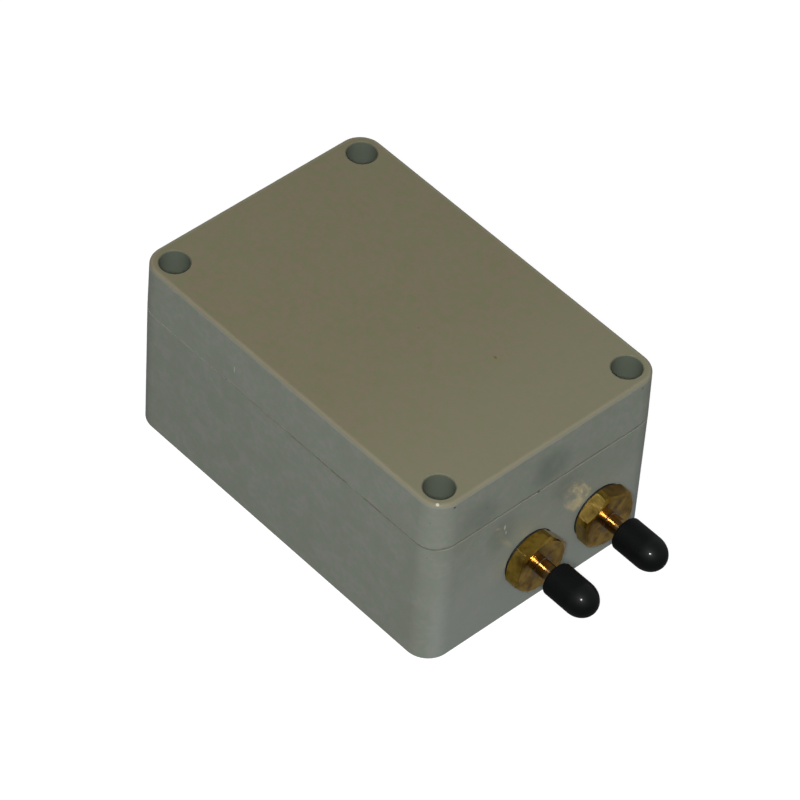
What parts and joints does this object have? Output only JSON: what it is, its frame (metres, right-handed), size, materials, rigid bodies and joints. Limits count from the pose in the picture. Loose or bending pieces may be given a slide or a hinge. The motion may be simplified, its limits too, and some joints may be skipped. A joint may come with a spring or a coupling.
{
  "type": "garage door timer",
  "caption": "Wall-mounted timer box with a screwed lid and capped brass air-hose nipples in one end wall, and a timing circuit with relay inside.",
  "frame": {"origin": "centre of the base face, which lies against the wall or stands on a table", "axes": "+X along the case towards the end wall with the hose nipples, +Z from the base face to the lid"},
  "size_m": [0.1456, 0.0814, 0.06],
  "materials": {
    "case_plastic": "light grey moulded enclosure, semi-gloss with a very fine texture",
    "brass": "turned and chamfered brass, slightly tarnished",
    "vinyl_black": "soft black vinyl, satin",
    "seal_rubber": "black sealing rubber",
    "zinc_steel": "zinc plated steel",
    "hose_silicone": "milky silicone hose",
    "switch_black": "black moulded plastic",
    "nylon_white": "white nylon",
    "board_green": "green solder mask on glass-fibre board",
    "terminal_green": "green moulded plastic",
    "relay_blue": "blue relay cover",
    "trimmer_blue": "blue adjuster body",
    "capacitor_sleeve": "dark sleeve",
    "resistor_body": "tan lacquer",
    "button_red": "red plunger",
    "lamp_red": "red tinted lens"
  },
  "bodies": {
    "case": {"air_hoses": "hose_silicone", "air_switch_left": "nylon_white", "air_switch_right": "nylon_white", "base_housing": "case_plastic", "board_screws": "zinc_steel", "cable_grommet": "seal_rubber", "chip_socket": "switch_black", "circuit_board": "board_green", "close_delay_trimmer": "trimmer_blue", "lid_gasket": "seal_rubber", "microswitch_left": "switch_black", "microswitch_right": "switch_black", "nipple_left": "brass", "nipple_lock_nuts": "brass", "nipple_plain_washers": "zinc_steel", "nipple_right": "brass", "nipple_sealing_washers": "seal_rubber", "open_delay_trimmer": "trimmer_blue", "output_relay": "relay_blue", "rectifier_diodes": "switch_black", "reservoir_capacitor": "capacitor_sleeve", "resistors": "resistor_body", "status_light": "lamp_red", "terminal_block": "terminal_green", "terminal_screws": "zinc_steel", "test_button_housing": "switch_black", "threaded_inserts": "brass", "timer_chip": "switch_black", "timing_capacitor": "capacitor_sleeve", "voltage_regulator": "switch_black"},
    "lid": {"lid": "case_plastic", "lid_screws": "zinc_steel", "screw_retainers": "nylon_white"},
    "cap_left": {"dust_cap_left": "vinyl_black"},
    "cap_right": {"dust_cap_right": "vinyl_black"},
    "open_rotor": {"open_delay_rotor": "nylon_white"},
    "close_rotor": {"close_delay_rotor": "nylon_white"},
    "button": {"test_button_plunger": "button_red"}
  },
  "joints": [
    {"name": "lid_lift_off", "type": "slide", "parent": "case", "child": "lid", "axis": [0, 0, 1], "range_m": [0, 0.05]},
    {"name": "dust_cap_left_pull_off", "type": "slide", "parent": "case", "child": "cap_left", "axis": [1, 0, 0], "range_m": [0, 0.02]},
    {"name": "dust_cap_right_pull_off", "type": "slide", "parent": "case", "child": "cap_right", "axis": [1, 0, 0], "range_m": [0, 0.02]},
    {"name": "open_delay_turn", "type": "hinge", "parent": "case", "child": "open_rotor", "pos_m": [-0.001, -0.02, 0.015], "axis": [0, 0, 1], "range_deg": [-130, 130]},
    {"name": "close_delay_turn", "type": "hinge", "parent": "case", "child": "close_rotor", "pos_m": [0.011, -0.02, 0.015], "axis": [0, 0, 1], "range_deg": [-130, 130]},
    {"name": "test_button_press", "type": "slide", "parent": "case", "child": "button", "axis": [0, 0, -1], "range_m": [0, 0.0015], "stiffness_N_per_m": 600, "springref_m": -0.001}
  ]
}
